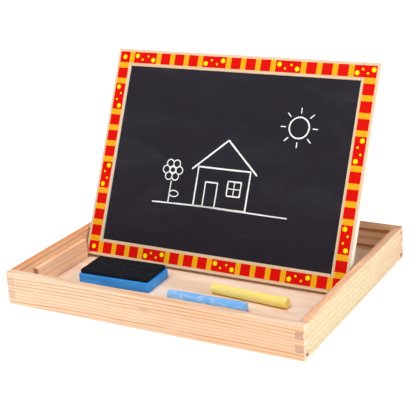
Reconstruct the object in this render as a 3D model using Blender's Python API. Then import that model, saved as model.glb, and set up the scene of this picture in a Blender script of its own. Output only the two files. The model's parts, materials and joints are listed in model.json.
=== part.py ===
"""A kids' table easel.

A shallow finger-jointed pine tray holds a framed chalkboard that leans back in a slot.
The slot lies between the front and the rear ledge strips, which are glued inside the
side walls. Taken out of the slot, the board lies flat on the same four strips as a lid.
A felt eraser and two sticks of chalk lie in the tray.

Frame: +X runs along the front wall, +Y to the back, +Z up. The origin is the centre of
the tray's footprint, at the level it stands on. All sizes are in metres.
"""

import math

import bmesh
import bpy
from mathutils import Euler, Vector

# Clearance between pieces that touch
GAP = 0.0003

# Tray
TRAY_WIDTH = 0.300
TRAY_DEPTH = 0.235
TRAY_HEIGHT = 0.032
WALL_THICKNESS = 0.0075
TRAY_CORNER_RADIUS = 0.0012
TRAY_EDGE_RADIUS = 0.0010
INNER_EDGE_RADIUS = 0.0006

# Finger joints: each side wall has two fingers, the first one starting at this height
FINGER_HEIGHT = 0.0060
FIRST_FINGER_BOTTOM = 0.0073

# Floor panel, held in grooves that run the full length of the walls
FLOOR_TOP = 0.0052
FLOOR_THICKNESS = 0.0020
GROOVE_DEPTH = 0.0040

# Board
BOARD_WIDTH = 0.2804
BOARD_HEIGHT = 0.2110
BOARD_THICKNESS = 0.0075
BOARD_LEAN = math.radians(26.1)
BOARD_EDGE_RADIUS = 0.0007
BOARD_REST_Y = 0.0008
FRAME_WIDTH = 0.0170
CORE_THICKNESS = 0.0030
CORE_TONGUE = 0.0050
SHEET_THICKNESS = 0.0010

# Ledge strips
LEDGE_THICKNESS = 0.0055
LEDGE_END_FROM_CENTRE = 0.0860
LEDGE_EDGE_RADIUS = 0.0006

# Eraser, felt side up
ERASER_CENTRE = (-0.0713, -0.0417)
ERASER_TURN = math.radians(2.5)
ERASER_SIZE = (0.0760, 0.0393, 0.0090)
ERASER_CORNER_RADIUS = 0.0018
ERASER_EDGE_RADIUS = 0.0008
FELT_THICKNESS = 0.0038
FELT_INSET = 0.0015
FELT_CORNER_RADIUS = 0.0012

# Chalk sticks: length, radius at each end, the middle of the axis and its turn
CHALK_LENGTH = 0.0790
CHALK_RADIUS_THIN = 0.0046
CHALK_RADIUS_THICK = 0.0050
CHALK_EDGE_RADIUS = 0.0008
YELLOW_CHALK_MIDDLE = (0.0614, -0.0393)
YELLOW_CHALK_TURN = math.radians(-4.3)
BLUE_CHALK_MIDDLE = (0.0312, -0.0635)
BLUE_CHALK_TURN = math.radians(-0.6)

# Derived places
HALF_WIDTH = TRAY_WIDTH / 2
HALF_DEPTH = TRAY_DEPTH / 2
INNER_HALF_WIDTH = HALF_WIDTH - WALL_THICKNESS
INNER_HALF_DEPTH = HALF_DEPTH - WALL_THICKNESS
FLOOR_BOTTOM = FLOOR_TOP - FLOOR_THICKNESS
LEDGE_TOP = TRAY_HEIGHT - BOARD_THICKNESS

PINE = (0.86, 0.66, 0.45)
PINE_DARK = (0.78, 0.55, 0.36)
PLYWOOD = (0.80, 0.60, 0.42)
RED_PRINT = (0.73, 0.01, 0.004)
HARDBOARD = (0.30, 0.17, 0.09)
CHALKBOARD_BLACK = (0.026, 0.024, 0.032)
WHITE_COATING = (0.85, 0.86, 0.86)
ERASER_BLUE = (0.05, 0.28, 0.68)
FELT_BLACK = (0.012, 0.012, 0.016)
CHALK_YELLOW = (0.95, 0.72, 0.10)
CHALK_BLUE = (0.16, 0.42, 0.90)


def clear_scene():
    for old in list(bpy.data.objects):
        bpy.data.objects.remove(old, do_unlink=True)


def make_collection(name):
    collection = bpy.data.collections.new(name)
    bpy.context.scene.collection.children.link(collection)
    return collection


def make_material(name, colour, roughness):
    material = bpy.data.materials.new(name)
    material.use_nodes = True
    shader = material.node_tree.nodes["Principled BSDF"]
    shader.inputs["Base Color"].default_value = (*colour, 1.0)
    shader.inputs["Roughness"].default_value = roughness
    shader.inputs["Metallic"].default_value = 0.0
    return material


def add_object(name, bm, centre, collection, material=None, parent=None):
    """Link a finished bmesh as an object whose origin is at centre."""
    mesh = bpy.data.meshes.new(name)
    bm.to_mesh(mesh)
    bm.free()
    if material is not None:
        mesh.materials.append(material)
    new_object = bpy.data.objects.new(name, mesh)
    new_object.location = centre
    new_object.parent = parent
    collection.objects.link(new_object)
    return new_object


def cube_mesh(size):
    bm = bmesh.new()
    bmesh.ops.create_cube(bm, size=1.0)
    bmesh.ops.scale(bm, vec=size, verts=bm.verts)
    return bm


def runs_along(edge, axis):
    direction = edge.verts[1].co - edge.verts[0].co
    return abs(direction[axis]) > 0.9 * direction.length


def round_edges(bm, edges, radius, segments):
    bmesh.ops.bevel(
        bm, geom=edges, offset=radius, segments=segments, profile=0.5, affect="EDGES"
    )


def spans_to_box(low, high):
    """The size and the centre of the box between two corners."""
    low, high = Vector(low), Vector(high)
    return high - low, (low + high) / 2


def add_box(name, low, high, collection, material=None, parent=None, radius=0.0, along=None):
    """A box between two corners.

    With a radius, all its edges are rounded, or only those that run along one axis.
    """
    size, centre = spans_to_box(low, high)
    bm = cube_mesh(size)
    if radius > 0:
        edges = [edge for edge in bm.edges if along is None or runs_along(edge, along)]
        round_edges(bm, edges, radius, 2)
    return add_object(name, bm, centre, collection, material, parent)


def add_rounded_slab(name, size, centre, corner_radius, edge_radius, collection,
                     material=None, parent=None):
    """A box with round vertical corners and smaller rounds on its top and bottom edges."""
    bm = cube_mesh(size)
    corners = [edge for edge in bm.edges if runs_along(edge, 2)]
    round_edges(bm, corners, corner_radius, 4)
    rims = [edge for edge in bm.edges if abs(edge.verts[0].co.z - edge.verts[1].co.z) < 1e-6]
    round_edges(bm, rims, edge_radius, 2)
    slab = add_object(name, bm, centre, collection, material, parent)
    slab.data.shade_smooth()
    slab.data.set_sharp_from_angle(angle=math.radians(35))
    return slab


def add_boolean(target, tool, operation):
    modifier = target.modifiers.new(operation.title() + "_" + tool.name, "BOOLEAN")
    modifier.operation = operation
    modifier.solver = "EXACT"
    modifier.object = tool


def add_cutter(name, low, high, collection, parent=None):
    cutter = add_box(name, low, high, collection, parent=parent)
    hide_tool(cutter)
    return cutter


def hide_tool(tool):
    tool.hide_render = True
    tool.display_type = "WIRE"


def finger_spans(grow):
    """The heights of the two side-wall fingers, each grown at both ends."""
    spans = []
    for count in range(2):
        bottom = FIRST_FINGER_BOTTOM + 2 * count * FINGER_HEIGHT
        spans.append((bottom - grow, bottom + FINGER_HEIGHT + grow))
    return spans


def make_tray_tools(cutters):
    """The outer envelope that rounds the tray's corners, the notches and the grooves."""
    envelope = add_rounded_slab(
        "tray_envelope", (TRAY_WIDTH, TRAY_DEPTH, TRAY_HEIGHT), (0, 0, TRAY_HEIGHT / 2),
        TRAY_CORNER_RADIUS, TRAY_EDGE_RADIUS, cutters,
    )
    hide_tool(envelope)

    spare = 0.01
    groove_low = FLOOR_BOTTOM - GAP
    groove_high = FLOOR_TOP + GAP
    tools = {"envelope": envelope, "front_notches": [], "side_notches": []}
    groove_x = INNER_HALF_WIDTH + GROOVE_DEPTH
    groove_y = INNER_HALF_DEPTH + GROOVE_DEPTH
    tools["long_groove"] = add_cutter(
        "long_groove", (-HALF_WIDTH - spare, -groove_y, groove_low),
        (HALF_WIDTH + spare, groove_y, groove_high), cutters,
    )
    tools["cross_groove"] = add_cutter(
        "cross_groove", (-groove_x, -HALF_DEPTH - spare, groove_low),
        (groove_x, HALF_DEPTH + spare, groove_high), cutters,
    )

    # Notches in the front and back walls, where the side walls' fingers pass through
    for row, (low, high) in enumerate(finger_spans(GAP / 2)):
        for side in (-1, 1):
            inner = side * (INNER_HALF_WIDTH - GAP)
            outer = side * (HALF_WIDTH + spare)
            tools["front_notches"].append(add_cutter(
                f"front_notch_{row}_{'left' if side < 0 else 'right'}",
                (min(inner, outer), -HALF_DEPTH - spare, low),
                (max(inner, outer), HALF_DEPTH + spare, high), cutters,
            ))

    # Notches in the side walls, everywhere except at their own fingers
    fingers = finger_spans(-GAP / 2)
    notch_spans = [
        (-spare, fingers[0][0]),
        (fingers[0][1], fingers[1][0]),
        (fingers[1][1], TRAY_HEIGHT + spare),
    ]
    for row, (low, high) in enumerate(notch_spans):
        for side in (-1, 1):
            inner = side * (INNER_HALF_DEPTH - GAP)
            outer = side * (HALF_DEPTH + spare)
            tools["side_notches"].append(add_cutter(
                f"side_notch_{row}_{'front' if side < 0 else 'back'}",
                (-HALF_WIDTH - spare, min(inner, outer), low),
                (HALF_WIDTH + spare, max(inner, outer), high), cutters,
            ))
    return tools


def add_wall(name, low, high, inner_face, tools, notches, groove, collection, material):
    """One wall of the tray; inner_face is the axis and the side that face into the tray."""
    size, centre = spans_to_box(low, high)
    bm = cube_mesh(size)
    axis, side = inner_face
    inner_top = [
        edge for edge in bm.edges
        if runs_along(edge, 1 - axis)
        and all(vertex.co.z > 0 and vertex.co[axis] * side > 0 for vertex in edge.verts)
    ]
    round_edges(bm, inner_top, INNER_EDGE_RADIUS, 2)
    wall = add_object(name, bm, centre, collection, material)
    add_boolean(wall, tools["envelope"], "INTERSECT")
    for notch in notches:
        add_boolean(wall, notch, "DIFFERENCE")
    add_boolean(wall, groove, "DIFFERENCE")
    return wall


def make_tray(collection, cutters):
    pine = make_material("pine", PINE, 0.55)
    plywood = make_material("plywood", PLYWOOD, 0.6)
    tools = make_tray_tools(cutters)

    for name, side in (("front_wall", -1), ("back_wall", 1)):
        ys = sorted((side * HALF_DEPTH, side * INNER_HALF_DEPTH))
        add_wall(
            name, (-HALF_WIDTH, ys[0], 0), (HALF_WIDTH, ys[1], TRAY_HEIGHT), (1, -side),
            tools, tools["front_notches"], tools["long_groove"], collection, pine,
        )
    for name, side in (("left_wall", -1), ("right_wall", 1)):
        xs = sorted((side * HALF_WIDTH, side * INNER_HALF_WIDTH))
        add_wall(
            name, (xs[0], -HALF_DEPTH, 0), (xs[1], HALF_DEPTH, TRAY_HEIGHT), (0, -side),
            tools, tools["side_notches"], tools["cross_groove"], collection, pine,
        )

    panel_x = INNER_HALF_WIDTH + GROOVE_DEPTH - 2 * GAP
    panel_y = INNER_HALF_DEPTH + GROOVE_DEPTH - 2 * GAP
    add_box(
        "floor_panel", (-panel_x, -panel_y, FLOOR_BOTTOM), (panel_x, panel_y, FLOOR_TOP),
        collection, plywood,
    )


def make_ledges(collection):
    """Four strips: the board stands in the slot between the front and the rear pair."""
    pine = make_material("ledge_pine", PINE_DARK, 0.55)
    bottom = FLOOR_TOP + GAP
    front_edge_y = BOARD_REST_Y - BOARD_THICKNESS * math.cos(BOARD_LEAN)
    slot_front = front_edge_y - GAP
    rear_face_y = BOARD_REST_Y + (LEDGE_TOP - bottom) * math.tan(BOARD_LEAN)
    slot_rear = rear_face_y + GAP / math.cos(BOARD_LEAN)
    spans = {
        "front": (-LEDGE_END_FROM_CENTRE, slot_front),
        "rear": (slot_rear, LEDGE_END_FROM_CENTRE),
    }
    for side_name, side in (("left", -1), ("right", 1)):
        wall_x = side * (INNER_HALF_WIDTH - GAP)
        inner_x = side * (INNER_HALF_WIDTH - LEDGE_THICKNESS)
        for end_name, (y_low, y_high) in spans.items():
            add_box(
                f"{side_name}_{end_name}_ledge",
                (min(wall_x, inner_x), y_low, bottom),
                (max(wall_x, inner_x), y_high, LEDGE_TOP),
                collection, pine, radius=LEDGE_EDGE_RADIUS,
            )


def make_board(collection, cutters):
    """The framed board, modelled upright about its bottom rear edge and then leaned back.

    In the board's own frame X is its width, Z its height, and Y runs from the front face
    at minus the thickness to the rear face at 0.
    """
    printed_wood = make_material("printed_frame_wood", RED_PRINT, 0.45)
    hardboard = make_material("hardboard", HARDBOARD, 0.75)
    chalk_surface = make_material("chalkboard_coating", CHALKBOARD_BLACK, 0.6)
    white_surface = make_material("whiteboard_coating", WHITE_COATING, 0.15)

    pivot = bpy.data.objects.new("board_pivot", None)
    pivot.location = (0, BOARD_REST_Y, FLOOR_TOP + GAP)
    pivot.rotation_euler = Euler((-BOARD_LEAN, 0, 0))
    collection.objects.link(pivot)

    half_width = BOARD_WIDTH / 2
    opening_x = half_width - FRAME_WIDTH
    opening_top = BOARD_HEIGHT - FRAME_WIDTH
    mid_y = -BOARD_THICKNESS / 2
    core_front = mid_y - CORE_THICKNESS / 2
    core_rear = mid_y + CORE_THICKNESS / 2

    groove = add_cutter(
        "frame_groove",
        (-opening_x - CORE_TONGUE, core_front - GAP, FRAME_WIDTH - CORE_TONGUE),
        (opening_x + CORE_TONGUE, core_rear + GAP, opening_top + CORE_TONGUE),
        cutters, parent=pivot,
    )

    for name, side in (("board_left_stile", -1), ("board_right_stile", 1)):
        xs = sorted((side * half_width, side * opening_x))
        stile = add_box(
            name, (xs[0], -BOARD_THICKNESS, 0), (xs[1], 0, BOARD_HEIGHT),
            collection, printed_wood, pivot, BOARD_EDGE_RADIUS,
        )
        tenon_slots = (
            ("bottom", -GAP, FRAME_WIDTH + GAP),
            ("top", opening_top - GAP, BOARD_HEIGHT + GAP),
        )
        add_boolean(stile, groove, "DIFFERENCE")
        for slot_name, low_z, high_z in tenon_slots:
            slot_xs = sorted((side * (opening_x + CORE_TONGUE), side * (opening_x - GAP)))
            mortise = add_cutter(
                f"{name}_{slot_name}_mortise",
                (slot_xs[0], core_front - GAP, low_z), (slot_xs[1], core_rear + GAP, high_z),
                cutters, parent=pivot,
            )
            add_boolean(stile, mortise, "DIFFERENCE")

    tenon_x = opening_x + CORE_TONGUE - GAP
    for name, low_z, high_z in (
        ("board_bottom_rail", 0, FRAME_WIDTH),
        ("board_top_rail", opening_top, BOARD_HEIGHT),
    ):
        rail = add_box(
            name, (-opening_x + GAP, -BOARD_THICKNESS, low_z), (opening_x - GAP, 0, high_z),
            collection, printed_wood, pivot, BOARD_EDGE_RADIUS, along=0,
        )
        tenon = add_cutter(
            name + "_tenon", (-tenon_x, core_front, low_z), (tenon_x, core_rear, high_z),
            cutters, parent=pivot,
        )
        add_boolean(rail, tenon, "UNION")
        add_boolean(rail, groove, "DIFFERENCE")

    core_x = opening_x + CORE_TONGUE - GAP
    add_box(
        "board_core_panel",
        (-core_x, core_front, FRAME_WIDTH - CORE_TONGUE + GAP),
        (core_x, core_rear, opening_top + CORE_TONGUE - GAP),
        collection, hardboard, pivot,
    )
    sheet_low = Vector((-opening_x + GAP, 0, FRAME_WIDTH + GAP))
    sheet_high = Vector((opening_x - GAP, 0, opening_top - GAP))
    front_y = core_front - GAP
    rear_y = core_rear + GAP
    add_box(
        "chalkboard_face",
        sheet_low + Vector((0, front_y - SHEET_THICKNESS, 0)),
        sheet_high + Vector((0, front_y, 0)),
        collection, chalk_surface, pivot,
    )
    add_box(
        "whiteboard_face",
        sheet_low + Vector((0, rear_y, 0)),
        sheet_high + Vector((0, rear_y + SHEET_THICKNESS, 0)),
        collection, white_surface, pivot,
    )


def make_eraser(collection):
    blue = make_material("eraser_blue", ERASER_BLUE, 0.45)
    felt = make_material("eraser_felt", FELT_BLACK, 0.95)
    width, depth, height = ERASER_SIZE
    block_bottom = FLOOR_TOP + GAP
    block = add_rounded_slab(
        "eraser_block", ERASER_SIZE, (*ERASER_CENTRE, block_bottom + height / 2),
        ERASER_CORNER_RADIUS, ERASER_EDGE_RADIUS, collection, blue,
    )
    block.rotation_euler.z = ERASER_TURN
    felt_size = (width - 2 * FELT_INSET, depth - 2 * FELT_INSET, FELT_THICKNESS)
    felt_bottom = block_bottom + height + GAP
    pad = add_rounded_slab(
        "eraser_felt", felt_size, (*ERASER_CENTRE, felt_bottom + FELT_THICKNESS / 2),
        FELT_CORNER_RADIUS, ERASER_EDGE_RADIUS, collection, felt,
    )
    pad.rotation_euler.z = ERASER_TURN


def make_chalk(name, middle, turn, colour, collection):
    """A slightly tapered moulded stick, thin end at -X, lying on its side on the floor."""
    bm = bmesh.new()
    bmesh.ops.create_cone(
        bm, cap_ends=True, segments=24, depth=CHALK_LENGTH,
        radius1=CHALK_RADIUS_THIN, radius2=CHALK_RADIUS_THICK,
    )
    rims = [edge for edge in bm.edges if not runs_along(edge, 2)]
    round_edges(bm, rims, CHALK_EDGE_RADIUS, 2)
    taper = math.atan((CHALK_RADIUS_THICK - CHALK_RADIUS_THIN) / CHALK_LENGTH)
    middle_radius = (CHALK_RADIUS_THIN + CHALK_RADIUS_THICK) / 2
    stick_z = FLOOR_TOP + GAP + middle_radius / math.cos(taper)
    material = make_material(name, colour, 0.9)
    stick = add_object(name, bm, (*middle, stick_z), collection, material)
    stick.rotation_euler = Euler((0, math.pi / 2 - taper, turn))
    stick.data.shade_smooth()
    stick.data.set_sharp_from_angle(angle=math.radians(35))


def main():
    clear_scene()
    collection = make_collection("kids_easel")
    cutters = make_collection("cutters")
    make_tray(collection, cutters)
    make_ledges(collection)
    make_board(collection, cutters)
    make_eraser(collection)
    make_chalk("chalk_yellow", YELLOW_CHALK_MIDDLE, YELLOW_CHALK_TURN, CHALK_YELLOW, collection)
    make_chalk("chalk_blue", BLUE_CHALK_MIDDLE, BLUE_CHALK_TURN, CHALK_BLUE, collection)


main()
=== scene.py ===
"""The looks of the kids' table easel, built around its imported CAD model.

The wooden pieces and the writing sheets keep their CAD shapes and get fine edges and
procedural materials. The printed border, the chalk drawing, the eraser and the chalk
sticks are made here. Lengths are in metres and colours are sRGB values from 0 to 255.
"""

import json
import math

import bmesh
import bpy
from mathutils import Matrix, Vector, noise


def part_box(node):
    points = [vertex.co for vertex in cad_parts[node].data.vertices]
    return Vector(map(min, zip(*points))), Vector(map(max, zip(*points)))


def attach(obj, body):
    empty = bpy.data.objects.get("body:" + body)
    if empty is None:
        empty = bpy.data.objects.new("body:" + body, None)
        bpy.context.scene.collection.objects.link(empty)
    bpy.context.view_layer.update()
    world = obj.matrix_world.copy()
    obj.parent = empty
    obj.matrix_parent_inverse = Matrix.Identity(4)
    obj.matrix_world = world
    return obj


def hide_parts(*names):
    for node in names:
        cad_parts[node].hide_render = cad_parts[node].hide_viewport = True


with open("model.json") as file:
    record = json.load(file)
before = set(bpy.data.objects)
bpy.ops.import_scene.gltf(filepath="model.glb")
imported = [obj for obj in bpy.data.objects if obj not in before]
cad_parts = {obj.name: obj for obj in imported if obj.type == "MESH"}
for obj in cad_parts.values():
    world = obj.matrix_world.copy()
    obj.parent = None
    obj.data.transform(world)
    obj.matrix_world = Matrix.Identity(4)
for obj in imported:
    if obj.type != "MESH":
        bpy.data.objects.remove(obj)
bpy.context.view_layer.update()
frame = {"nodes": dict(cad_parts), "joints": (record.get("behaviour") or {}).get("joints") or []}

MM = 0.001

# The board's own frame: X along its width, Y into it from the front, Z up its face
BOARD_LIFT = next(joint for joint in frame["joints"] if joint["name"] == "board_lift")
BOARD_UP = Vector(BOARD_LIFT["axis"]).normalized()
BOARD_LEAN = math.atan2(BOARD_UP.y, BOARD_UP.z)
BOARD_BACK = Vector((0, math.cos(BOARD_LEAN), -math.sin(BOARD_LEAN)))


# ---------------------------------------------------------------- places from the frame

def board_span(node):
    """The low and high corners of a CAD node of the board, in the board's own frame."""
    points = [vertex.co for vertex in frame["nodes"][node].data.vertices]
    rows = [(point.x, point.dot(BOARD_BACK), point.dot(BOARD_UP)) for point in points]
    low = Vector([min(row[axis] for row in rows) for axis in range(3)])
    high = Vector([max(row[axis] for row in rows) for axis in range(3)])
    return low, high


STILE_LOW, STILE_HIGH = board_span("board_left_stile")
RIGHT_STILE_HIGH = board_span("board_right_stile")[1]
SHEET_LOW = board_span("chalkboard_face")[0]
BOARD_ORIGIN = BOARD_BACK * STILE_LOW.y + BOARD_UP * STILE_LOW.z
BOARD_MATRIX = Matrix.Translation(BOARD_ORIGIN) @ Matrix.Rotation(-BOARD_LEAN, 4, "X")
BOARD_HALF_WIDTH = RIGHT_STILE_HIGH.x
BOARD_TALL = STILE_HIGH.z - STILE_LOW.z
SHEET_DEPTH = SHEET_LOW.y - STILE_LOW.y


# ---------------------------------------------------------------- colours and shader nodes

def tone(red, green, blue):
    """An sRGB colour as the linear RGBA that shader sockets take."""
    def linear(value):
        share = value / 255
        return share / 12.92 if share <= 0.04045 else ((share + 0.055) / 1.055) ** 2.4
    return linear(red), linear(green), linear(blue), 1.0


class Shade:
    """A material's node tree, with short calls that add a node and return its output."""

    def __init__(self, name):
        self.material = bpy.data.materials.new(name)
        self.material.use_nodes = True
        self.tree = self.material.node_tree
        self.shader = self.tree.nodes["Principled BSDF"]

    def node(self, kind, inputs=(), **settings):
        made = self.tree.nodes.new(kind)
        for name, value in settings.items():
            setattr(made, name, value)
        for key, value in dict(inputs).items():
            self.put(made.inputs[key], value)
        return made

    def put(self, socket, value):
        if isinstance(value, bpy.types.NodeSocket):
            self.tree.links.new(value, socket)
        else:
            socket.default_value = value

    def math(self, operation, first, second=0.0, third=0.0, clamp=False):
        inputs = {0: first, 1: second, 2: third}
        return self.node("ShaderNodeMath", inputs, operation=operation, use_clamp=clamp).outputs[0]

    def mix(self, share, first, second, blend="MIX"):
        made = self.node("ShaderNodeMix", data_type="RGBA", blend_type=blend)
        self.put(made.inputs[0], share)
        self.put(made.inputs[6], first)
        self.put(made.inputs[7], second)
        return made.outputs[2]

    def ramp(self, value, stops):
        """A smooth float ramp: stops are (position, value) pairs."""
        made = self.node("ShaderNodeValToRGB", {0: value})
        made.color_ramp.interpolation = "EASE"
        elements = made.color_ramp.elements
        while len(elements) < len(stops):
            elements.new(0.5)
        for element, (position, level) in zip(elements, stops):
            element.position = position
            element.color = (level, level, level, 1)
        return made.outputs[0]

    def noise(self, vector, scale, detail=2.0, roughness=0.5, distortion=0.0):
        inputs = {
            "Vector": vector, "Scale": scale, "Detail": detail,
            "Roughness": roughness, "Distortion": distortion,
        }
        return self.node("ShaderNodeTexNoise", inputs).outputs[0]

    def centred(self, value, reach):
        """A noise value moved to swing about zero by half of reach each way."""
        return self.math("MULTIPLY", self.math("SUBTRACT", value, 0.5), reach)

    def place(self, turn=(0, 0, 0), shift=(0, 0, 0)):
        """The object's own coordinates in millimetres, turned about X, then Y, then Z."""
        coordinates = self.node("ShaderNodeTexCoord").outputs["Object"]
        inputs = {"Vector": coordinates, "Location": shift, "Rotation": turn, "Scale": (1000,) * 3}
        return self.node("ShaderNodeMapping", inputs).outputs[0]

    def stretch(self, vector, scale, shift=(0, 0, 0)):
        inputs = {"Vector": vector, "Location": shift, "Scale": scale}
        return self.node("ShaderNodeMapping", inputs).outputs[0]

    def facing(self, turn):
        """The surface's direction in the same turned frame as place()."""
        normal = self.node("ShaderNodeTexCoord").outputs["Normal"]
        inputs = {"Vector": normal, "Rotation": turn}
        return self.node("ShaderNodeMapping", inputs, vector_type="VECTOR").outputs[0]

    def parts(self, vector):
        return self.node("ShaderNodeSeparateXYZ", {0: vector}).outputs

    def bump(self, height, distance, strength):
        inputs = {"Height": height, "Distance": distance, "Strength": strength}
        return self.node("ShaderNodeBump", inputs).outputs[0]

    def finish(self, colour, roughness, normal=None, specular=0.5):
        self.put(self.shader.inputs["Base Color"], colour)
        self.put(self.shader.inputs["Roughness"], roughness)
        self.shader.inputs["Specular IOR Level"].default_value = specular
        if normal is not None:
            self.put(self.shader.inputs["Normal"], normal)
        return self.material


# ---------------------------------------------------------------- wood

ALONG_X = (0, 0, 0)
ALONG_Y = (0, 0, -math.pi / 2)
BOARD_ALONG_X = (BOARD_LEAN, 0, 0)
BOARD_ALONG_Z = (BOARD_LEAN, math.pi / 2, 0)


def wood(
    name, turn, light, dark, cut, pith, spacing, contrast=1.0, drift=(0, 0), bow=0.0, warp=5.0,
    shift=(0, 0, 0), top=None, sides=None, cut_lines=0.6, flecks=0.08, blush_and_painted_shade=None, knot=None,
):
    """Solid wood, its grain along the turned X axis.

    The growth rings are circles about the pith, a line at (y, z) in millimetres, so a
    face along the grain shows streaks and a cut end shows arcs. drift tilts the pith
    along the grain, bow bends it, and warp bends the rings unevenly, to keep the streaks
    from running ruler straight. top tints the faces that look up along the turned Z, a
    tone that is partly painted shade. sides paints a near-white highlight on the faces
    that look either way along it. blush is a second tint that comes in patches and
    towards +X, and is partly painted shade where it darkens one end. knot is (x, z, size)
    of a small knot.
    """
    shade = Shade(name)
    place = shade.place(turn, shift)
    x, y, z = shade.parts(place)

    # Distance from the pith, bent a little everywhere
    bend = shade.centred(shade.noise(shade.stretch(place, (0.008, 0.03, 0.03)), 1.0, 2.0), warp)
    ripple = shade.centred(
        shade.noise(shade.stretch(place, (0.035, 0.35, 0.35), (7, 3, 5)), 1.0, 3.0, 0.6), 1.6
    )
    away = shade.math("SUBTRACT", x, 50)
    lift = shade.math("MULTIPLY", shade.math("MULTIPLY", away, away), bow)
    across = shade.math("SUBTRACT", shade.math("MULTIPLY_ADD", x, drift[0], y), pith[0])
    height = shade.math("SUBTRACT", shade.math("MULTIPLY_ADD", x, drift[1], z), pith[1])
    height = shade.math("ADD", height, lift)
    squares = shade.math("MULTIPLY_ADD", across, across, shade.math("MULTIPLY", height, height))
    radius = shade.math("ADD", shade.math("SQRT", squares), shade.math("ADD", bend, ripple))
    dimple = 0.0
    if knot:
        along_knot = shade.math("DIVIDE", shade.math("SUBTRACT", x, knot[0]), 2.2 * knot[2])
        over_knot = shade.math("DIVIDE", shade.math("SUBTRACT", z, knot[1]), knot[2])
        spread = shade.math(
            "MULTIPLY_ADD", along_knot, along_knot, shade.math("MULTIPLY", over_knot, over_knot)
        )
        dimple = shade.math("EXPONENT", shade.math("MULTIPLY", spread, -1.4))
        push = shade.math("MULTIPLY", shade.math("MULTIPLY", dimple, over_knot), 1.5)
        radius = shade.math("ADD", radius, push)
    ring = shade.math("DIVIDE", radius, spacing)
    phase = shade.math("FRACT", ring)
    late = shade.ramp(phase, ((0.0, 0.0), (0.35, 0.10), (0.78, 1.0), (1.0, 0.0)))

    # Some rings are stronger than others, and each fades in and out along the grain
    ring_strength = shade.node(
        "ShaderNodeTexWhiteNoise", {"W": shade.math("FLOOR", ring)}, noise_dimensions="1D"
    ).outputs[0]
    patch = shade.noise(shade.stretch(place, (0.012, 0.09, 0.09), (3, 9, 1)), 1.0, 2.0)
    late = shade.math("MULTIPLY", late, shade.math("MULTIPLY_ADD", ring_strength, 0.95, 0.2))
    late = shade.math("MULTIPLY", late, shade.math("MULTIPLY_ADD", patch, 1.3, 0.25))
    late = shade.math("MULTIPLY", late, contrast, clamp=True)

    # Fibres and short flecks
    fibres = shade.noise(shade.stretch(place, (0.30, 5.0, 5.0)), 1.0, 4.0, 0.7)
    fleck = shade.noise(shade.stretch(place, (0.16, 1.3, 1.3), (2, 8, 4)), 1.0, 3.0, 0.65)
    grain = shade.math("ADD", shade.centred(fibres, 0.10), shade.centred(fleck, flecks * 2))
    grain = shade.math("ADD", grain, 1.0)

    facing = shade.parts(shade.facing(turn))
    end_face = shade.ramp(shade.math("ABSOLUTE", facing[0]), ((0.80, 0.0), (0.95, 1.0)))

    colour = shade.mix(late, light, dark)
    # Patchy tint that grows towards +X. On the front wall it is painted shade that darkens its right
    # end; on the right wall it is a pink tint of the wood.
    if blush_and_painted_shade:
        cloud = shade.noise(shade.stretch(place, (0.02, 0.06, 0.06), (5, 5, 5)), 1.0, 3.0, 0.6)
        drifted = shade.math("MULTIPLY_ADD", x, 0.0035, cloud)
        colour = shade.mix(shade.ramp(drifted, ((0.25, 0.0), (0.85, 1.0))), colour, blush_and_painted_shade, "MULTIPLY")
    # Painted highlight: faces that look either way along the turned Z get a near-white tone, as a strong
    # light from the side shows them.
    if sides:
        looks_aside = shade.ramp(shade.math("ABSOLUTE", facing[2]), ((0.6, 0.0), (0.95, 1.0)))
        painted_side_highlight = shade.mix(shade.math("MULTIPLY", late, 0.3), sides, light)
        colour = shade.mix(looks_aside, colour, painted_side_highlight)
    # Partly painted shade: the faces that look up get their own tone, mostly darker than the faces, for
    # how the light falls on them.
    if top:
        looks_up = shade.ramp(facing[2], ((0.55, 0.0), (0.9, 1.0)))
        top_tone_and_shade = shade.mix(shade.math("MULTIPLY", late, 1.6, clamp=True), top, dark)
        colour = shade.mix(looks_up, colour, top_tone_and_shade)
    if knot:
        colour = shade.mix(shade.math("MULTIPLY", dimple, 0.45), colour, tone(205, 152, 120))
    cut_ring = shade.mix(1.0, cut, dark, "MULTIPLY")
    cut_colour = shade.mix(shade.math("MULTIPLY", late, cut_lines), cut, cut_ring)
    colour = shade.mix(end_face, colour, cut_colour)
    grain_colour = shade.node("ShaderNodeCombineXYZ", {0: grain, 1: grain, 2: grain}).outputs[0]
    colour = shade.mix(1.0, colour, grain_colour, "MULTIPLY")

    rough = shade.math("MULTIPLY_ADD", late, -0.08, shade.math("MULTIPLY_ADD", fibres, 0.14, 0.52))
    relief = shade.math("MULTIPLY_ADD", late, 0.5, fibres)
    return shade.finish(colour, rough, shade.bump(relief, 0.05 * MM, 0.5), specular=0.25)


def plywood(name, turn, light, dark, edge):
    """A smooth peeled face with broad soft figure, and layers along its cut edges."""
    shade = Shade(name)
    place = shade.place(turn)
    z = shade.parts(place)[2]
    broad = shade.noise(shade.stretch(place, (0.008, 0.045, 0.3)), 1.0, 3.0, 0.55, 1.2)
    figure = shade.ramp(broad, ((0.35, 0.0), (0.62, 1.0)))
    fine = shade.noise(shade.stretch(place, (0.12, 2.8, 2.8)), 1.0, 4.0, 0.6)
    face = shade.mix(shade.math("MULTIPLY", figure, 0.55), light, dark)
    layers = shade.math("FRACT", shade.math("DIVIDE", z, 0.7))
    layer_tone = shade.mix(shade.math("GREATER_THAN", layers, 0.5), edge, light)
    flatness = shade.math("ABSOLUTE", shade.parts(shade.facing(turn))[2])
    colour = shade.mix(shade.math("GREATER_THAN", flatness, 0.6), layer_tone, face)
    soft = shade.math("MULTIPLY_ADD", shade.math("SUBTRACT", fine, 0.5), 0.14, 1.0)
    tint = shade.node("ShaderNodeCombineXYZ", {0: soft, 1: soft, 2: soft}).outputs[0]
    colour = shade.mix(1.0, colour, tint, "MULTIPLY")
    rough = shade.math("MULTIPLY_ADD", fine, 0.15, 0.48)
    return shade.finish(colour, rough, shade.bump(fine, 0.03 * MM, 0.5), specular=0.3)


# ---------------------------------------------------------------- other materials

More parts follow.
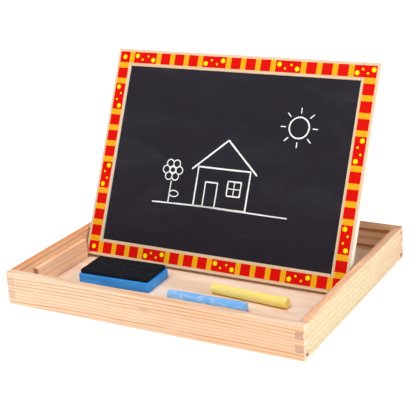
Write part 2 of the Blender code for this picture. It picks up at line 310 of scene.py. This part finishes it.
def ink(name, colour, deep):
    """Satin ink printed on wood: slightly uneven, with the wood's fibres under it."""
    shade = Shade(name)
    place = shade.place()
    mottle = shade.noise(place, 0.35, 3.0, 0.6)
    fibres = shade.noise(shade.stretch(place, (0.25, 4.0, 4.0)), 1.0, 3.0, 0.6)
    share = shade.ramp(mottle, ((0.35, 0.0), (0.75, 1.0)))
    tinted = shade.mix(shade.math("MULTIPLY", share, 0.6), colour, deep)
    rough = shade.math("MULTIPLY_ADD", fibres, 0.16, 0.38)
    return shade.finish(tinted, rough, shade.bump(fibres, 0.02 * MM, 0.4), specular=0.06)


def chalkboard_coating():
    """Matt black coating with a fine tooth and a faint haze of rubbed-out chalk."""
    shade = Shade("chalkboard_coating")
    place = shade.place(BOARD_ALONG_X)
    haze_wide = shade.noise(shade.stretch(place, (0.012, 0.012, 0.03)), 1.0, 3.0, 0.6, 0.8)
    haze = shade.ramp(haze_wide, ((0.45, 0.0), (0.80, 1.0)))
    wipe = shade.noise(shade.stretch(place, (0.03, 0.3, 0.5)), 1.0, 4.0, 0.7)
    tooth = shade.noise(place, 3.2, 2.0, 0.6)
    dust = shade.math("MULTIPLY", haze, shade.math("MULTIPLY", wipe, 0.05))
    dusty = shade.mix(dust, tone(38, 33, 42), tone(170, 172, 178))
    speck = shade.math("MULTIPLY_ADD", shade.math("SUBTRACT", tooth, 0.5), 0.12, 1.0)
    tint = shade.node("ShaderNodeCombineXYZ", {0: speck, 1: speck, 2: speck}).outputs[0]
    colour = shade.mix(1.0, dusty, tint, "MULTIPLY")
    rough = shade.math("MULTIPLY_ADD", tooth, 0.14, 0.62)
    return shade.finish(colour, rough, shade.bump(tooth, 0.03 * MM, 0.6), specular=0.12)


def whiteboard_coating():
    """Glossy white film, with a very slight orange peel."""
    shade = Shade("whiteboard_coating")
    place = shade.place(BOARD_ALONG_X)
    peel = shade.noise(place, 0.5, 2.0, 0.5)
    stain = shade.noise(shade.stretch(place, (0.02, 0.2, 0.06)), 1.0, 3.0)
    colour = shade.mix(shade.math("MULTIPLY", stain, 0.12), tone(244, 245, 246), tone(214, 220, 226))
    rough = shade.math("MULTIPLY_ADD", stain, 0.10, 0.12)
    return shade.finish(colour, rough, shade.bump(peel, 0.02 * MM, 0.25))


def hardboard():
    shade = Shade("hardboard")
    place = shade.place(BOARD_ALONG_X)
    fibre_noise = shade.noise(place, 1.3, 5.0, 0.7)
    colour = shade.mix(fibre_noise, tone(96, 62, 38), tone(150, 108, 72))
    return shade.finish(colour, 0.75, shade.bump(fibre_noise, 0.06 * MM, 0.5), specular=0.3)


def chalk_line():
    """Dry chalk marks: near white, thinner where the stick skipped."""
    shade = Shade("chalk_line")
    place = shade.place()
    grain = shade.noise(place, 2.6, 3.0, 0.7)
    skips = shade.ramp(grain, ((0.30, 1.0), (0.46, 0.0)))
    colour = shade.mix(shade.math("MULTIPLY", skips, 0.55), tone(252, 252, 250), tone(120, 118, 124))
    return shade.finish(colour, 0.95, shade.bump(grain, 0.04 * MM, 0.6), specular=0.1)


def chalk_stick_material(name, colour, pale, deep, shift):
    """Moulded chalk: powdery patches, rubbed pale spots and small pits."""
    shade = Shade(name)
    place = shade.place(ALONG_X, shift)
    clouds = shade.noise(shade.stretch(place, (0.10, 0.28, 0.28)), 1.0, 3.0, 0.6, 0.6)
    patches = shade.ramp(clouds, ((0.42, 0.0), (0.66, 1.0)))
    grain = shade.noise(place, 1.1, 5.0, 0.75)
    rubbed = shade.mix(shade.math("MULTIPLY", patches, 0.75), colour, pale)
    pits = shade.ramp(grain, ((0.30, 1.0), (0.44, 0.0)))
    pitted = shade.mix(shade.math("MULTIPLY", pits, 0.5), rubbed, deep)
    return shade.finish(pitted, 0.92, shade.bump(grain, 0.08 * MM, 0.6), specular=0.12)


def eraser_paint():
    """Blue satin paint on the eraser's block, thinner and lighter in places."""
    shade = Shade("eraser_paint")
    place = shade.place()
    cloud = shade.noise(shade.stretch(place, (0.03, 0.06, 0.15)), 1.0, 2.0)
    fine = shade.noise(place, 1.6, 3.0, 0.6)
    blend = shade.ramp(cloud, ((0.3, 0.0), (0.7, 1.0)))
    colour = shade.mix(blend, tone(26, 132, 222), tone(50, 156, 240))
    rough = shade.math("MULTIPLY_ADD", fine, 0.18, 0.36)
    return shade.finish(colour, rough, shade.bump(fine, 0.03 * MM, 0.35), specular=0.4)


def felt_material():
    """Pressed black felt: matted short fibres, with a little lint."""
    shade = Shade("eraser_felt_fibres")
    place = shade.place()
    mat = shade.noise(place, 0.5, 6.0, 0.85, 1.0)
    matted = shade.noise(shade.stretch(place, (0.7, 2.4, 2.4)), 1.0, 4.0, 0.7, 2.0)
    lint = shade.ramp(shade.noise(place, 2.9, 1.0, 0.5, 2.5), ((0.74, 0.0), (0.80, 1.0)))
    tufts = shade.ramp(mat, ((0.32, 0.0), (0.68, 1.0)))
    colour = shade.mix(tufts, tone(2, 2, 5), tone(48, 48, 56))
    colour = shade.mix(shade.math("MULTIPLY", lint, 0.25), colour, tone(120, 122, 130))
    relief = shade.math("ADD", mat, matted)
    return shade.finish(colour, 0.96, shade.bump(relief, 0.25 * MM, 0.8), specular=0.05)


# ---------------------------------------------------------------- CAD pieces that stay

def refine(node, material, edge=0.0):
    """Give a CAD piece its material, merged faces, and finely rounded edges."""
    piece = frame["nodes"][node]
    mesh = piece.data
    for name in ("custom_normal", "sharp_edge"):
        if name in mesh.attributes:
            mesh.attributes.remove(mesh.attributes[name])
    mesh.shade_smooth()
    mesh.materials.clear()
    mesh.materials.append(material)

    weld = piece.modifiers.new("Weld", "WELD")
    weld.merge_threshold = 0.00001
    flat = piece.modifiers.new("Flat_faces", "DECIMATE")
    flat.decimate_type = "DISSOLVE"
    flat.angle_limit = math.radians(0.5)
    if edge > 0:
        bevel = piece.modifiers.new("Edges", "BEVEL")
        bevel.width = edge
        bevel.segments = 2
        bevel.limit_method = "ANGLE"
        bevel.angle_limit = math.radians(50)
        bevel.use_clamp_overlap = True
    normals = piece.modifiers.new("Even_shading", "WEIGHTED_NORMAL")
    normals.keep_sharp = True
    return piece


def dress_tray():
    pale_end = tone(252, 234, 206)
    tan_end = tone(238, 208, 176)
    dull_end = tone(234, 202, 176)
    brown_end = tone(218, 172, 146)
    # Painted shade on the walls: the top tones make the tops darker than the faces, partly as the light
    # falls on them, and the front wall's patchy tint darkens it towards its right end. The right wall's
    # patchy tint is a pink tint of the wood.
    front = wood(
        "pine_front", ALONG_X, tone(251, 220, 188), tone(228, 150, 93), pale_end, (-96, -70), 3.1,
        1.05, (0.0, 0.006), 1.2e-4, 4.0, top=tone(250, 222, 194), blush_and_painted_shade=tone(251, 240, 232),
        knot=(-1, 20, 3.2),
    )
    back = wood(
        "pine_back", ALONG_X, tone(246, 204, 168), tone(198, 120, 66), tan_end, (112, 2), 8.0,
        1.6, (0.0, -0.02), 0.0, 6.0, shift=(40, 0, 0), top=tone(236, 178, 134),
    )
    left = wood(
        "pine_left", ALONG_Y, tone(255, 216, 176), tone(242, 156, 98), dull_end, (176, -18), 4.2,
        1.0, (0.01, 0.0), 0.0, 6.0, shift=(90, 0, 0), top=tone(230, 168, 126), cut_lines=0.4,
    )
    right = wood(
        "pine_right", ALONG_Y, tone(233, 216, 175), tone(226, 172, 130), brown_end, (-128, 58), 4.4,
        0.6, (0.012, 0.02), 0.0, 9.0, shift=(-60, 0, 0), top=tone(252, 196, 158),
        cut_lines=1.0, flecks=0.34, blush_and_painted_shade=tone(255, 230, 232),
    )
    for node, material in (
        ("front_wall", front), ("back_wall", back), ("left_wall", left), ("right_wall", right),
    ):
        refine(node, material, 0.18 * MM)

    refine("floor_panel", plywood(
        "plywood_floor", ALONG_X, tone(254, 230, 210), tone(230, 190, 158), tone(190, 146, 108),
    ))
    ledge = wood(
        "pine_ledge", ALONG_Y, tone(253, 214, 176), tone(240, 172, 124), tone(186, 144, 118),
        (120, 90), 5.0, 0.7, (0.0, 0.015), 0.0, 7.0,
    )
    for side in ("left", "right"):
        for end in ("front", "rear"):
            refine(f"{side}_{end}_ledge", ledge, 0.15 * MM)


def dress_board():
    pale = tone(230, 203, 168)
    streak = tone(210, 170, 128)
    cut = tone(224, 196, 162)
    # Painted highlight: the board's side faces, the stiles' sides and the rails' ends, are near white,
    # as a strong light from the right shows them.
    side = tone(240, 237, 226)
    rail = wood("frame_wood_rail", BOARD_ALONG_X, pale, streak, side, (60, -90), 3.2, 0.7, cut_lines=0.2)
    stile = wood(
        "frame_wood_stile", BOARD_ALONG_Z, pale, streak, cut, (-40, 260), 3.0, 0.7, sides=side,
    )
    for node in ("board_top_rail", "board_bottom_rail"):
        refine(node, rail, 0.15 * MM)
    for node in ("board_left_stile", "board_right_stile"):
        refine(node, stile, 0.15 * MM)
    refine("board_core_panel", hardboard())
    refine("chalkboard_face", chalkboard_coating(), 0.2 * MM)
    refine("whiteboard_face", whiteboard_coating(), 0.2 * MM)


# ---------------------------------------------------------------- meshes made here

def new_piece(name, bm, material, matrix):
    """An object made of the bmesh, placed by the matrix."""
    mesh = bpy.data.meshes.new(name)
    bm.to_mesh(mesh)
    bm.free()
    mesh.materials.append(material)
    piece = bpy.data.objects.new(name, mesh)
    bpy.context.scene.collection.objects.link(piece)
    piece.matrix_world = matrix
    return piece


def add_prism(bm, outline, front, back):
    """A closed flat prism on the board: outline in (x, z), between two depths."""
    front_ring = [bm.verts.new((x, front, z)) for x, z in outline]
    back_ring = [bm.verts.new((x, back, z)) for x, z in outline]
    count = len(outline)
    bm.faces.new(front_ring)
    bm.faces.new(list(reversed(back_ring)))
    for index in range(count):
        following = (index + 1) % count
        bm.faces.new((
            front_ring[following], front_ring[index], back_ring[index], back_ring[following],
        ))


DISC_SIDES = 32


def add_block(bm, x_span, z_span, front, back):
    corners = [
        (x_span[0], z_span[0]), (x_span[1], z_span[0]),
        (x_span[1], z_span[1]), (x_span[0], z_span[1]),
    ]
    add_prism(bm, corners, front, back)


def add_disc(bm, centre, radius, front, back):
    turn = 2 * math.pi / DISC_SIDES
    outline = [
        (centre[0] + radius * math.cos(turn * step), centre[1] + radius * math.sin(turn * step))
        for step in range(DISC_SIDES)
    ]
    add_prism(bm, outline, front, back)


# ---------------------------------------------------------------- printed border

PRINT_MARGIN = 2.9 * MM
PRINT_WIDTH = 11.2 * MM
PRINT_CLEARANCE = 0.01 * MM
PRINT_THICKNESS = 0.05 * MM
INK_STEP = 0.02 * MM
BAR = 5.3 * MM
SHORT_BLOCK = 10.2 * MM
LONG_BLOCK = 25.4 * MM
CORNER_BLOCK = 11.2 * MM
BIG_DOT = 2.25 * MM
SMALL_DOT = 1.05 * MM

# Each side from its first corner to its last: c corner, b orange bar, s short and
# L long red block. The top's last long block runs through the corner.
SIDE_PATTERNS = {
    "top": "cbLbsbsbsbLbsbsbsbLbsbsbsbL",
    "bottom": "cbsbsbsbLbsbsbsbLbsbsbsbLbsbc",
    "left": "cbsbLbsbsbsbLbsbsbsbc",
    "right": "cbsbsbsbLbsbsbsbLbsbc",
}
BLOCK_LENGTHS = {"c": CORNER_BLOCK, "b": BAR, "s": SHORT_BLOCK, "L": LONG_BLOCK}

# Dots in a long block: share of its length, share across the band, radius. Every other
# block has them mirrored across the band.
BLOCK_DOTS = (
    (0.14, 0.34, BIG_DOT), (0.38, 0.66, SMALL_DOT), (0.62, 0.34, SMALL_DOT), (0.86, 0.66, BIG_DOT),
)


def side_runner(side):
    """A side's length, and a function from (along, across) to the board's (x, z)."""
    left = -BOARD_HALF_WIDTH + PRINT_MARGIN
    right = BOARD_HALF_WIDTH - PRINT_MARGIN
    bottom = PRINT_MARGIN
    top = BOARD_TALL - PRINT_MARGIN
    runners = {
        "top": (right - left, lambda along, across: (left + along, top - across)),
        "bottom": (right - left, lambda along, across: (left + along, bottom + across)),
        "left": (top - bottom, lambda along, across: (left + across, top - along)),
        "right": (top - bottom, lambda along, across: (right - across, top - along)),
    }
    return runners[side]


def side_blocks(side):
    """(letter, start, end) along one side, fitted to its length."""
    length, _ = side_runner(side)
    pattern = SIDE_PATTERNS[side]
    free = [letter for letter in pattern if letter != "c"]
    corners = pattern.count("c") * CORNER_BLOCK
    if pattern[-1] == "L":
        corners += CORNER_BLOCK - (LONG_BLOCK - SHORT_BLOCK)
    scale = (length - corners) / sum(BLOCK_LENGTHS[letter] for letter in free)
    spans = []
    start = 0.0
    for letter in pattern:
        size = BLOCK_LENGTHS[letter] * (1 if letter == "c" else scale)
        spans.append((letter, start, min(start + size, length)))
        start += size
    return spans


def make_border_print():
    """A red band round the frame, orange bars across it, and yellow dots on the red."""
    red = bmesh.new()
    bars = bmesh.new()
    dots = bmesh.new()
    base = -PRINT_CLEARANCE
    red_front = base - PRINT_THICKNESS
    bar_front = red_front - INK_STEP
    dot_front = bar_front - INK_STEP
    ink_back = red_front + INK_STEP / 2

    def corners_at(margin):
        sides = BOARD_HALF_WIDTH - margin
        top = BOARD_TALL - margin
        return [(-sides, margin), (sides, margin), (sides, top), (-sides, top)]

    outer_corners = corners_at(PRINT_MARGIN)
    inner_corners = corners_at(PRINT_MARGIN + PRINT_WIDTH)
    rings = {}
    for depth_name, depth in (("front", red_front), ("back", base)):
        for ring_name, corners in (("outer", outer_corners), ("inner", inner_corners)):
            rings[depth_name, ring_name] = [red.verts.new((x, depth, z)) for x, z in corners]
    for index in range(4):
        following = (index + 1) % 4
        outer_front, inner_front = rings["front", "outer"], rings["front", "inner"]
        outer_back, inner_back = rings["back", "outer"], rings["back", "inner"]
        for ring in (
            (outer_front[index], outer_front[following], inner_front[following], inner_front[index]),
            (outer_back[following], outer_back[index], inner_back[index], inner_back[following]),
            (outer_front[following], outer_front[index], outer_back[index], outer_back[following]),
            (inner_front[index], inner_front[following], inner_back[following], inner_back[index]),
        ):
            red.faces.new(ring)

    for side in SIDE_PATTERNS:
        _, run = side_runner(side)
        mirrored = False
        for letter, start, end in side_blocks(side):
            if letter == "b":
                first, last = run(start, 0), run(end, PRINT_WIDTH)
                xs = sorted((first[0], last[0]))
                zs = sorted((first[1], last[1]))
                add_block(bars, xs, zs, bar_front, ink_back)
            elif letter == "L":
                for share, across, radius in BLOCK_DOTS:
                    level = 1 - across if mirrored else across
                    centre = run(start + share * (end - start), level * PRINT_WIDTH)
                    add_disc(dots, centre, radius, dot_front, ink_back)
                mirrored = not mirrored
            elif letter == "c" and side in ("top", "bottom"):
                centre = run((start + end) / 2, PRINT_WIDTH / 2)
                add_disc(dots, centre, BIG_DOT, dot_front, ink_back)

    red_ink = ink("red_ink", tone(223, 16, 6), tone(212, 12, 4))
    orange_ink = ink("orange_ink", tone(244, 178, 28), tone(236, 164, 20))
    yellow_ink = ink("yellow_ink", tone(246, 234, 18), tone(240, 222, 10))
    for name, bm, material in (
        ("border_print_red", red, red_ink),
        ("border_print_bars", bars, orange_ink),
        ("border_print_dots", dots, yellow_ink),
    ):
        bmesh.ops.recalc_face_normals(bm, faces=bm.faces)
        piece = new_piece(name, bm, material, BOARD_MATRIX)
        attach(piece, "board")


# ---------------------------------------------------------------- chalk drawing

LINE_STEP = 0.5 * MM
LINE_HEIGHT = 0.07 * MM
LINE_CLEARANCE = 0.01 * MM


def arc(centre, radii, start, end, steps=40):
    """Points on an ellipse, in millimetres, from one angle to another in degrees."""
    points = []
    for step in range(steps + 1):
        angle = math.radians(start + (end - start) * step / steps)
        points.append((centre[0] + radii[0] * math.cos(angle), centre[1] + radii[1] * math.sin(angle)))
    return points


def resample(points, step):
    """The same line with evenly spaced points."""
    points = [Vector(point) for point in points]
    lengths = [0.0]
    for first, second in zip(points, points[1:]):
        lengths.append(lengths[-1] + (second - first).length)
    count = max(2, round(lengths[-1] / step))
    even = []
    index = 0
    for number in range(count + 1):
        target = lengths[-1] * number / count
        while index < len(points) - 2 and lengths[index + 1] < target:
            index += 1
        span = max(lengths[index + 1] - lengths[index], 1e-9)
        even.append(points[index].lerp(points[index + 1], (target - lengths[index]) / span))
    return even


def add_line(bm, points, width, seed):
    """A chalk line: a low ridge along the points, with an uneven width and rough sides."""
    path = resample([(x * MM, z * MM) for x, z in points], LINE_STEP)
    rows = []
    last = len(path) - 1
    for index, point in enumerate(path):
        before = path[max(index - 1, 0)]
        after = path[min(index + 1, last)]
        along = (after - before).normalized()
        side = Vector((-along.y, along.x))
        pressure = 1.0 + 0.22 * noise.noise(Vector((index * 0.05, seed, 0)))
        taper = min(1.0, 0.55 + 0.45 * min(index, last - index) / 2)
        half = width * MM / 2 * pressure * taper
        wobble = side * (0.12 * MM * noise.noise(Vector((index * 0.11, seed, 5))))
        left = half * (1 + 0.22 * noise.noise(Vector((index * 0.9, seed, 9))))
        right = half * (1 + 0.22 * noise.noise(Vector((index * 0.9, seed, 17))))
        middle = point + wobble
        row = []
        for offset, height in (
            (left, 0.0), (left * 0.75, LINE_HEIGHT), (-right * 0.75, LINE_HEIGHT), (-right, 0.0),
        ):
            place = middle + side * offset
            row.append(bm.verts.new((place.x, SHEET_DEPTH - LINE_CLEARANCE - height, place.y)))
        rows.append(row)
    for first, second in zip(rows, rows[1:]):
        for index in range(4):
            following = (index + 1) % 4
            bm.faces.new((first[index], first[following], second[following], second[index]))
    bm.faces.new(list(reversed(rows[0])))
    bm.faces.new(rows[-1])


def make_drawing():
    """A plain house, sun and flower, the kind that any child draws."""
    bm = bmesh.new()
    ground = 62.0
    lines = []

    def draw(points, width=1.3):
        lines.append((points, width))

    def draw_box(x, z, width, height, line=1.3):
        draw([(x, z), (x + width, z), (x + width, z + height), (x, z + height), (x, z)], line)

    # House: walls, roof, door and a crossed window
    draw_box(-28, ground, 56, 38, 1.5)
    draw([(-35, ground + 35), (0, ground + 66), (35, ground + 35)], 1.7)
    draw_box(-18, ground, 13, 24)
    draw_box(6, ground + 13, 14, 14)
    draw([(13, ground + 13), (13, ground + 27)], 0.9)
    draw([(6, ground + 20), (20, ground + 20)], 0.9)
    draw([(-74, ground - 1), (-28, ground), (72, ground - 1)])

    # Sun with eight rays
    sun = Vector((70, ground + 84))
    draw(arc(sun, (10, 10), 0, 368), 1.4)
    for ray in range(8):
        angle = math.radians(45 * ray)
        direction = Vector((math.cos(angle), math.sin(angle)))
        draw([sun + 13.5 * direction, sun + 19 * direction], 1.1)

    # Flower with six petals, a stem and a leaf
    bloom = Vector((-56, ground + 32))
    draw(arc(bloom, (3, 3), 0, 372), 1.1)
    for petal in range(6):
        angle = math.radians(60 * petal)
        centre = bloom + 7.2 * Vector((math.cos(angle), math.sin(angle)))
        draw(arc(centre, (3.7, 3.7), 0, 370), 1.1)
    draw([(-56, ground + 21), (-56, ground)], 1.2)
    draw(arc((-51, ground + 9), (5, 3), 180, 540), 1.0)

    for number, (points, width) in enumerate(lines):
        add_line(bm, points, width, 3.7 * number + 0.4)
    bmesh.ops.recalc_face_normals(bm, faces=bm.faces)
    drawing = new_piece("chalk_drawing", bm, chalk_line(), BOARD_MATRIX)
    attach(drawing, "board")


# ---------------------------------------------------------------- eraser

ERASER_TURN = math.radians(2.5)
BLOCK_CORNER = 1.8 * MM
BLOCK_EDGE = 0.8 * MM
FELT_CORNER = 1.2 * MM
FELT_EDGE = 0.6 * MM
FELT_VOXEL = 0.55 * MM
FELT_RELIEF = 0.13 * MM
# The relief grows outwards from a slab this much smaller than the pad
FELT_ALLOWANCE = Vector((0.3 * MM, 0.3 * MM, 0.2 * MM))


def turned_size(node, turn):
    """The width and depth of a box-shaped node that is turned about Z, and its middle."""
    low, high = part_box(node)
    middle = (low + high) / 2
    rotation = Matrix.Rotation(-turn, 3, "Z")
    points = [rotation @ (vertex.co - middle) for vertex in frame["nodes"][node].data.vertices]
    width = 2 * max(point.x for point in points)
    depth = 2 * max(point.y for point in points)
    return Vector((width, depth, high.z - low.z)), middle


def rounded_slab(size, corner_radius, edge_radius, corner_segments, edge_segments):
    """A box with rounded upright corners and softened rims."""
    bm = bmesh.new()
    bmesh.ops.create_cube(bm, size=1.0)
    bmesh.ops.scale(bm, vec=size, verts=bm.verts)
    upright = [edge for edge in bm.edges if abs(edge.verts[0].co.z - edge.verts[1].co.z) > size.z / 2]
    bmesh.ops.bevel(
        bm, geom=upright, offset=corner_radius, segments=corner_segments, profile=0.5, affect="EDGES"
    )
    rims = [edge for edge in bm.edges if abs(edge.verts[0].co.z - edge.verts[1].co.z) < 1e-7]
    bmesh.ops.bevel(
        bm, geom=rims, offset=edge_radius, segments=edge_segments, profile=0.5, affect="EDGES"
    )
    return bm


def make_eraser():
    size, middle = turned_size("eraser_block", ERASER_TURN)
    matrix = Matrix.Translation(middle) @ Matrix.Rotation(ERASER_TURN, 4, "Z")
    bm = rounded_slab(size, BLOCK_CORNER, BLOCK_EDGE, 6, 3)
    block = new_piece("eraser_block_body", bm, eraser_paint(), matrix)
    block.data.shade_smooth()
    block.modifiers.new("Even_shading", "WEIGHTED_NORMAL")
    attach(block, "eraser")
    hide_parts("eraser_block")

    size, middle = turned_size("eraser_felt", ERASER_TURN)
    matrix = Matrix.Translation(middle) @ Matrix.Rotation(ERASER_TURN, 4, "Z")
    bm = rounded_slab(size - FELT_ALLOWANCE, FELT_CORNER, FELT_EDGE, 4, 3)
    felt = new_piece("eraser_felt_pad", bm, felt_material(), matrix)
    remesh = felt.modifiers.new("Grid", "REMESH")
    remesh.mode = "VOXEL"
    remesh.voxel_size = FELT_VOXEL
    apply_modifiers(felt)
    for vertex in felt.data.vertices:
        place = vertex.co / MM
        lump = 0.5 * noise.noise(place * 0.25) + 0.35 * noise.noise(place * 1.1)
        fuzz = 0.5 * noise.noise(place * 2.7)
        vertex.co += vertex.normal * (FELT_RELIEF * (lump + fuzz))
    felt.data.shade_smooth()
    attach(felt, "eraser")
    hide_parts("eraser_felt")


def apply_modifiers(piece):
    """Replace a piece's mesh by what its modifiers make of it."""
    graph = bpy.context.evaluated_depsgraph_get()
    made = bpy.data.meshes.new_from_object(piece.evaluated_get(graph))
    piece.modifiers.clear()
    piece.data = made


# ---------------------------------------------------------------- chalk sticks

def long_axis(node):
    """The ends of a stick's axis, the one at lower X first, and the radius at each."""
    points = [vertex.co for vertex in frame["nodes"][node].data.vertices]
    middle = sum(points, Vector()) / len(points)
    far = max(points, key=lambda point: (point - middle).length)
    axis = Vector((far.x - middle.x, far.y - middle.y, 0)).normalized()
    if axis.x < 0:
        axis = -axis
    for _ in range(8):  # power iteration on the scatter of the points
        axis = sum(((point - middle) * (point - middle).dot(axis) for point in points), Vector())
        axis.normalize()
    reach = [(point - middle).dot(axis) for point in points]
    low, high = min(reach), max(reach)

    def radius_near(place):
        near = [p for p, r in zip(points, reach) if abs(r - place) < 2 * MM]
        return max(((p - middle) - axis * (p - middle).dot(axis)).length for p in near)

    return middle + axis * low, middle + axis * high, radius_near(low), radius_near(high)


STICK_SIDES = 64
STICK_RINGS = 110
STICK_END_ROUND = 1.0 * MM
STICK_END_STEP = 0.25 * MM
STICK_END_RINGS = 5
STICK_SKIN = 0.10 * MM
END_BULGE = 0.12 * MM


def make_stick(node, name, material, seed):
    """A moulded stick with worn ends, small dents and a slight taper."""
    start, end, first_radius, last_radius = long_axis(node)
    axis = end - start
    length = axis.length
    end_stations = [STICK_END_STEP * step for step in range(STICK_END_RINGS)]
    middle_count = STICK_RINGS - 2 * STICK_END_RINGS
    stations = list(end_stations)
    for step in range(1, middle_count + 1):
        share = step / (middle_count + 1)
        stations.append(STICK_END_ROUND + (length - 2 * STICK_END_ROUND) * share)
    stations += [length - station for station in reversed(end_stations)]

    bm = bmesh.new()
    rings = []
    for station in stations:
        share = station / length
        radius = first_radius + (last_radius - first_radius) * share - STICK_SKIN
        from_end = min(station, length - station)
        if from_end < STICK_END_ROUND:
            drop = STICK_END_ROUND - from_end
            radius -= STICK_END_ROUND - math.sqrt(max(STICK_END_ROUND ** 2 - drop ** 2, 0))
        ring = []
        for step in range(STICK_SIDES):
            angle = 2 * math.pi * step / STICK_SIDES
            spot = Vector((station / MM * 0.22, 1.6 * math.cos(angle), 1.6 * math.sin(angle) + seed))
            dent = 0.10 * noise.noise(spot) + 0.05 * noise.noise(spot * 3.1)
            pit = max(0.0, noise.noise(spot * 5.3 + Vector((seed, 0, 0))) - 0.45)
            reach = radius + MM * (min(dent, 0.1) - 0.35 * pit)
            ring.append(bm.verts.new((station, reach * math.cos(angle), reach * math.sin(angle))))
        rings.append(ring)
    for first, second in zip(rings, rings[1:]):
        for index in range(STICK_SIDES):
            following = (index + 1) % STICK_SIDES
            bm.faces.new((first[index], first[following], second[following], second[index]))
    for ring, bulge in ((rings[0], END_BULGE), (rings[-1], -END_BULGE)):
        centre = sum((vertex.co for vertex in ring), Vector()) / STICK_SIDES
        hub = bm.verts.new(centre + Vector((bulge, 0, 0)))
        for index in range(STICK_SIDES):
            bm.faces.new((ring[index], ring[(index + 1) % STICK_SIDES], hub))
    bmesh.ops.recalc_face_normals(bm, faces=bm.faces)
    turn = Vector((1, 0, 0)).rotation_difference(axis.normalized()).to_matrix().to_4x4()
    stick = new_piece(name, bm, material, Matrix.Translation(start) @ turn)
    stick.data.shade_smooth()
    stick.data.set_sharp_from_angle(angle=math.radians(50))
    return stick


def make_chalk():
    yellow_chalk = chalk_stick_material(
        "yellow_chalk", tone(255, 234, 122), tone(255, 238, 170), tone(250, 186, 150), (0, 0, 0)
    )
    blue_chalk = chalk_stick_material(
        "blue_chalk", tone(120, 186, 255), tone(186, 222, 255), tone(84, 148, 240), (31, 4, 9)
    )
    yellow = make_stick("chalk_yellow", "chalk_yellow_stick", yellow_chalk, 3.0)
    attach(yellow, "yellow_chalk")
    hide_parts("chalk_yellow")
    blue = make_stick("chalk_blue", "chalk_blue_stick", blue_chalk, 11.0)
    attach(blue, "blue_chalk")
    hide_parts("chalk_blue")


# ---------------------------------------------------------------- stage

CAMERA_PLACE = Vector((0.4781, -0.8252, 0.4176))
CAMERA_AZIMUTH = math.radians(30.0)
CAMERA_ELEVATION = math.radians(19.9)
CAMERA_ROLL = math.radians(-3.55)
CAMERA_LENS_MM = 94.24
SENSOR_MM = 36.0
WORLD_STRENGTH = 0.28
FLOOR_REACH = 6.0
FLOOR_GAP = 0.2 * MM


def make_camera():
    azimuth, elevation = CAMERA_AZIMUTH, CAMERA_ELEVATION
    back = Vector((
        math.sin(azimuth) * math.cos(elevation),
        -math.cos(azimuth) * math.cos(elevation),
        math.sin(elevation),
    ))
    level = Vector((math.cos(azimuth), math.sin(azimuth), 0))
    up = back.cross(level)
    right = level * math.cos(CAMERA_ROLL) + up * math.sin(CAMERA_ROLL)
    top = up * math.cos(CAMERA_ROLL) - level * math.sin(CAMERA_ROLL)
    data = bpy.data.cameras.new("camera")
    data.lens = CAMERA_LENS_MM
    data.sensor_width = SENSOR_MM
    data.clip_start = 0.05
    data.clip_end = 20
    camera = bpy.data.objects.new("camera", data)
    bpy.context.scene.collection.objects.link(camera)
    rotation = Matrix((right, top, back)).transposed().to_4x4()
    camera.matrix_world = Matrix.Translation(CAMERA_PLACE) @ rotation
    bpy.context.scene.camera = camera


def add_area_light(name, place, aim, size, power):
    data = bpy.data.lights.new(name, "AREA")
    data.shape = "SQUARE"
    data.size = size
    data.energy = power
    light = bpy.data.objects.new(name, data)
    bpy.context.scene.collection.objects.link(light)
    light.location = place
    light.rotation_euler = (Vector(aim) - Vector(place)).to_track_quat("-Z", "Y").to_euler()


def add_backdrop(tree, background):
    """Past the floor the studio is plain white, without that white lighting the object."""
    white = tree.nodes.new("ShaderNodeBackground")
    white.inputs["Color"].default_value = (1, 1, 1, 1)
    seen = tree.nodes.new("ShaderNodeLightPath")
    choice = tree.nodes.new("ShaderNodeMixShader")
    tree.links.new(seen.outputs["Is Camera Ray"], choice.inputs[0])
    tree.links.new(background.outputs[0], choice.inputs[1])
    tree.links.new(white.outputs[0], choice.inputs[2])
    tree.links.new(choice.outputs[0], tree.nodes["World Output"].inputs["Surface"])


def make_stage():
    world = bpy.data.worlds.new("studio")
    bpy.context.scene.world = world
    world.use_nodes = True
    background = world.node_tree.nodes["Background"]
    background.inputs["Color"].default_value = (1, 1, 1, 1)
    background.inputs["Strength"].default_value = WORLD_STRENGTH
    add_backdrop(world.node_tree, background)

    target = (0, 0, 0.05)
    add_area_light("key", (-0.25, -1.4, 3.2), target, 2.0, 83)
    add_area_light("right", (2.2, 0.0, 1.0), target, 1.6, 22)

    # The floor's own glow grows away from the object, as a lit white sweep does
    shade = Shade("floor_paper")
    place = shade.place()
    speckle = shade.noise(place, 0.2, 3.0, 0.6)
    colour = shade.mix(speckle, tone(238, 238, 238), tone(232, 232, 234))
    shade.finish(colour, 0.9, specular=0.1)
    away = shade.node("ShaderNodeVectorMath", {0: place}, operation="LENGTH").outputs["Value"]
    reach = {"Value": away, "From Min": 100, "From Max": 380, "To Min": 0.26, "To Max": 0.85}
    glow = shade.node("ShaderNodeMapRange", reach).outputs[0]
    shade.shader.inputs["Emission Color"].default_value = (1, 1, 1, 1)
    shade.put(shade.shader.inputs["Emission Strength"], glow)
    bm = bmesh.new()
    bmesh.ops.create_grid(bm, x_segments=1, y_segments=1, size=FLOOR_REACH)
    under = Matrix.Translation((0, 0, -FLOOR_GAP))
    floor = new_piece("floor", bm, shade.material, under)

    bpy.context.scene.view_settings.view_transform = "Standard"


dress_tray()
dress_board()
make_border_print()
make_drawing()
make_eraser()
make_chalk()
make_stage()
make_camera()
